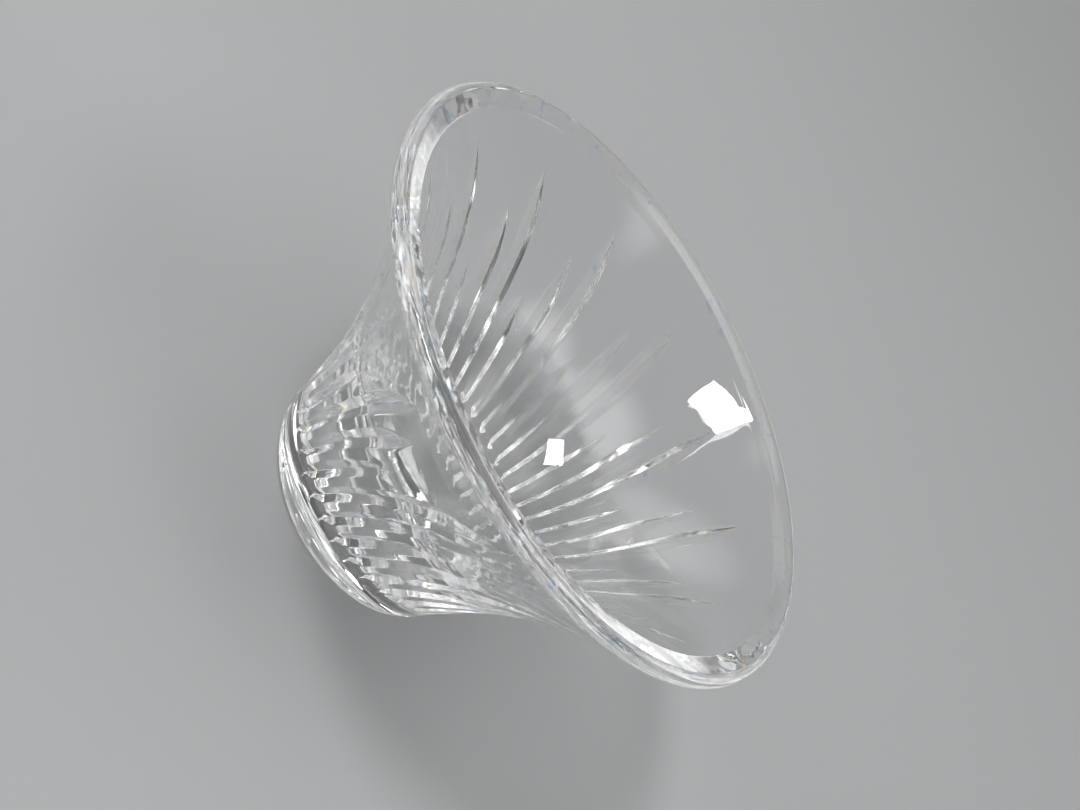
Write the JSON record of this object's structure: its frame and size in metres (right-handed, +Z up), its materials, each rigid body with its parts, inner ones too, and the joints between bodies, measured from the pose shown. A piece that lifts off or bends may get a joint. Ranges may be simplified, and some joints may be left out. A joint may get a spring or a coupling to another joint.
{
  "type": "crystal bowl",
  "caption": "Flared bowl of clear cut glass with a thick rounded lip, a heavy flat foot and swirled V cuts in three lengths on the outside.",
  "frame": {"origin": "centre of the foot, on the plane that the bowl stands on", "axes": "+Z up along the bowl's axis, from the foot to the open mouth; X and Y level, with no face of their own because the bowl is round"},
  "size_m": [0.2098, 0.21, 0.1155],
  "materials": {
    "crystal": "polished"
  },
  "bodies": {
    "root": {"bowl": "crystal"}
  },
  "joints": []
}
